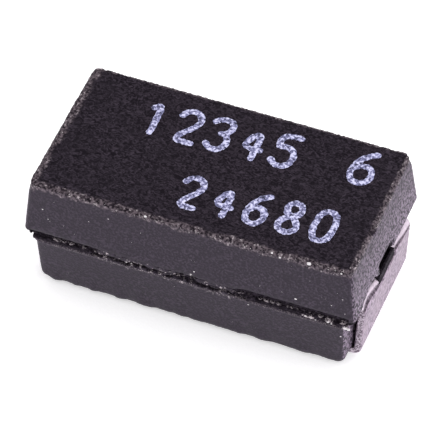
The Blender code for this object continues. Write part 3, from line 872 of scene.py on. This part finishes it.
def tin_finish():
    """Matte tin: a painted highlight above the score, torn on the sheared edges, painted shade in the
    score.
    """
    tin = Finish("matte_tin", (0.50, 0.42, 0.50), 0.5, metallic=1.0)
    sand = tin.grain(0.055, detail=2.5)
    cloud = tin.grain(0.30, detail=3.0)
    colour = tin.mix(tin.span(sand, 0.38, 0.60), (0.17, 0.13, 0.175), (0.50, 0.41, 0.505))
    colour = tin.mix(tin.span(cloud, 0.4, 0.7, 0.0, 0.35), colour, (0.50, 0.40, 0.46))
    tears = tin.span(tin.grain(0.03, detail=2.0), 0.42, 0.56)
    torn = tin.mix(tears, (0.15, 0.115, 0.15), (0.62, 0.54, 0.62))
    # Above the score the bend is painted brighter, as a highlight where it faces the light.
    bend_highlight = tin.calculate("MULTIPLY", tin.attribute("painted_highlight"), 0.5)
    colour = tin.mix(bend_highlight, colour, (0.92, 0.82, 0.92))
    colour = tin.mix(tin.attribute("sheared"), colour, torn)
    # The score is painted almost black, as the shade in its groove.
    colour = tin.mix(tin.attribute("painted_crease_shade"), colour, (0.02, 0.015, 0.02))
    tin.feed("Base Color", colour)
    tin.feed("Roughness", tin.span(sand, 0.3, 0.7, 0.44, 0.64))
    tin.bump([(sand, 0.012), (cloud, 0.006)])
    return tin.material


tin_material = tin_finish()
for side in ("left", "right"):
    finished(slice_terminal(f"terminal_{side}"), f"tinned_terminal_{side}", [tin_material],
             "tinned_copper", f"terminal_{side}")

# %% [markdown]
# ## The printed marking
# Pale ink, set down dot by dot, so each stroke has round ends, a ragged rim and a blotchy face. A text
# object would bring a typeface with flat ends. Here each plain digit is a few strokes, and each stroke
# is a low bead of ink: rings of points along the stroke, bridged, with a half-round end.

# %% Digits
GRID_WIDE, GRID_HIGH = 4, 6
# Strokes of each digit, as points on that grid
DIGITS = {
    "0": [[(1, 0), (0, 1.4), (0, 4.6), (1, 6), (3, 6), (4, 4.6), (4, 1.4), (3, 0), (1, 0)]],
    "1": [[(0.8, 4.9), (2.2, 6), (2.2, 0)]],
    "2": [[(0, 4.8), (0.9, 6), (3, 6), (4, 4.8), (3.8, 3.6), (0, 0), (4, 0)]],
    "3": [[(0, 5.2), (1, 6), (3, 6), (3.9, 4.9), (3, 3.3), (1.8, 3.2)],
          [(3, 3.3), (4, 1.9), (3, 0), (1, 0), (0, 0.9)]],
    "4": [[(3, 0), (3, 6), (0, 1.9), (4, 1.9)]],
    "5": [[(3.8, 6), (0.4, 6), (0.2, 3.4), (1.2, 3.8), (3, 3.7), (4, 2.4), (3.8, 1), (2.8, 0),
           (1, 0), (0, 0.9)]],
    "6": [[(3.4, 6), (1.2, 4.9), (0, 2.4), (0.3, 0.8), (1.2, 0), (2.9, 0), (4, 1.2), (3.9, 2.5),
           (2.8, 3.4), (1.2, 3.3), (0.1, 2.2)]],
    "8": [[(2, 3.2), (0.6, 3.8), (0.4, 5.2), (1.2, 6), (2.8, 6), (3.6, 5.2), (3.4, 3.8), (2, 3.2),
           (0.4, 2.4), (0, 1), (1, 0), (3, 0), (4, 1), (3.6, 2.4), (2, 3.2)]],
}
INK_WIDTH = 0.116
INK_HEIGHT = 0.010
INK_STEP = 0.022
RAGGED = 0.28  # how unevenly the rim of a stroke runs
END_SHARES = (0.62, 0.92)  # places of the two smaller rings of a round end, in half widths
END_HEIGHT = 0.7  # height of those rings, against a full one
LINE_RISE = 0.035  # the lines of print run slightly uphill
# Text, left lower corner, advance, and width and height of a digit
LINES = [
    ("12345", (-1.62, 0.37), 0.58, (0.36, 0.70)),
    ("6", (2.04, 0.43), 0.58, (0.38, 0.70)),
    ("24680", (-0.42, -1.00), 0.585, (0.33, 0.66)),
]


def rounded_path(points, turns=3):
    """Cut the corners of a stroke a few times, so that it runs round."""
    for _ in range(turns):
        path = [points[0]]
        for a, b in zip(points, points[1:]):
            path += [a.lerp(b, 0.25), a.lerp(b, 0.75)]
        points = path + [points[-1]]
    return points


def evenly(points, step):
    """Points one step apart along a path."""
    spread = [points[0]]
    for a, b in zip(points, points[1:]):
        while (b - spread[-1]).length > step:
            spread.append(spread[-1] + (b - spread[-1]).normalized() * step)
    return spread


def ink_ring(bm, here, along, width, height):
    """A flattened circle round the stroke, stretched unevenly so that the rim is ragged."""
    across = Vector((-along.y, along.x, 0.0))
    frame_of_ring = Matrix((across * width / 2, Vector((0.0, 0.0, height)), along)).transposed().to_4x4()
    place = Matrix.Translation(here * MM) @ frame_of_ring
    ring = bmesh.ops.create_circle(bm, segments=8, radius=MM, matrix=place)["verts"]
    for vert in ring:
        reach = (vert.co / MM - here).dot(across)
        vert.co += across * reach * RAGGED * lumps(vert.co / MM, 0.045, 30.0) * MM
    return list({edge for vert in ring for edge in vert.link_edges})


def end_ring(bm, tip, away, along, share):
    """A smaller ring beyond the tip of a stroke, on a half circle round the tip."""
    place = tip + away * share * INK_WIDTH / 2
    width = INK_WIDTH * math.sqrt(1.0 - share ** 2)
    return ink_ring(bm, place, along, width, INK_HEIGHT * END_HEIGHT)


def draw_stroke(bm, points):
    """A flat bead of ink along a stroke, narrowing to a half-round end at both ends."""
    start = (points[0] - points[1]).normalized()
    end = (points[-1] - points[-2]).normalized()
    rings = [end_ring(bm, points[0], start, -start, share) for share in reversed(END_SHARES)]
    for before, here, after in zip(points[:1] + points, points, points[1:] + points[-1:]):
        rings.append(ink_ring(bm, here, (after - before).normalized(), INK_WIDTH, INK_HEIGHT))
    rings += [end_ring(bm, points[-1], end, end, share) for share in END_SHARES]
    for near, far in zip(rings, rings[1:]):
        bmesh.ops.bridge_loops(bm, edges=near + far)
    for ring in (rings[0], rings[-1]):
        bmesh.ops.contextual_create(bm, geom=ring)


def print_marking():
    """Each stroke is drawn and turned right side out by itself, and then joins the rest."""
    printed = bmesh.new()
    for text, (left, low), advance, (width, height) in LINES:
        for k, digit in enumerate(text):
            x = left + k * advance
            corner = Vector((x, low + LINE_RISE * x, TOP + 0.002))
            for stroke in DIGITS[digit]:
                points = [corner + Vector((u / GRID_WIDE * width, v / GRID_HIGH * height, 0.0))
                          for u, v in stroke]
                bm = bmesh.new()
                draw_stroke(bm, evenly(rounded_path(points), INK_STEP))
                bmesh.ops.recalc_face_normals(bm, faces=bm.faces)
                mesh = bpy.data.meshes.new("stroke")
                bm.to_mesh(mesh)
                bm.free()
                printed.from_mesh(mesh)
                bpy.data.meshes.remove(mesh)
    return printed


def ink_finish():
    ink = Finish("marking_ink", (0.46, 0.46, 0.75), 0.6)
    blot = ink.grain(0.050, detail=4.0, distortion=0.6)
    colour = ink.mix(ink.span(blot, 0.34, 0.54), (0.025, 0.025, 0.055), (0.28, 0.28, 0.52))
    colour = ink.mix(ink.span(blot, 0.49, 0.61), colour, (0.74, 0.74, 1.0))
    ink.feed("Base Color", colour)
    ink.feed("Roughness", ink.span(blot, 0.3, 0.7, 0.8, 0.55))
    ink.bump([(blot, 0.020)])
    return ink.material


finished(print_marking(), "printed_marking", [ink_finish()], "moulding_compound")

# %% [markdown]
# ## The sealed pieces
# Nothing shows of the resistor element, but it is part of the object, so it gets its finishes too.

# %% Finishes of the sealed pieces
# Node: name of the finish, colour, roughness, how metallic it is, size of its grain in millimetres
SEALED = {
    "ceramic_substrate": ("alumina", (0.80, 0.78, 0.73), 0.55, 0.0, 0.03),
    "bonding_layer": ("bonding_cement", (0.42, 0.30, 0.14), 0.50, 0.0, 0.05),
    "foil_element": ("resistance_foil", (0.58, 0.55, 0.52), 0.30, 1.0, 0.02),
    "solder_joint_left": ("solder", (0.62, 0.62, 0.64), 0.35, 1.0, 0.04),
    "solder_joint_right": ("solder", (0.62, 0.62, 0.64), 0.35, 1.0, 0.04),
    "cushion_coat": ("silicone_coat", (0.55, 0.13, 0.09), 0.45, 0.0, 0.06),
}


def finish_sealed():
    for node, (name, colour, roughness, metallic, size) in SEALED.items():
        finish = Finish(name, colour, roughness, metallic)
        grain = finish.grain(size, detail=3.0)
        darker = tuple(0.8 * c for c in colour)
        finish.feed("Base Color", finish.mix(grain, darker, colour))
        finish.feed("Roughness", finish.span(grain, 0.3, 0.7, roughness - 0.06, roughness + 0.06))
        finish.bump([(grain, 0.003)])
        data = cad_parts[node].data
        data.materials.clear()
        data.materials.append(finish.material)
    print("finished", len(SEALED), "sealed pieces")


finish_sealed()
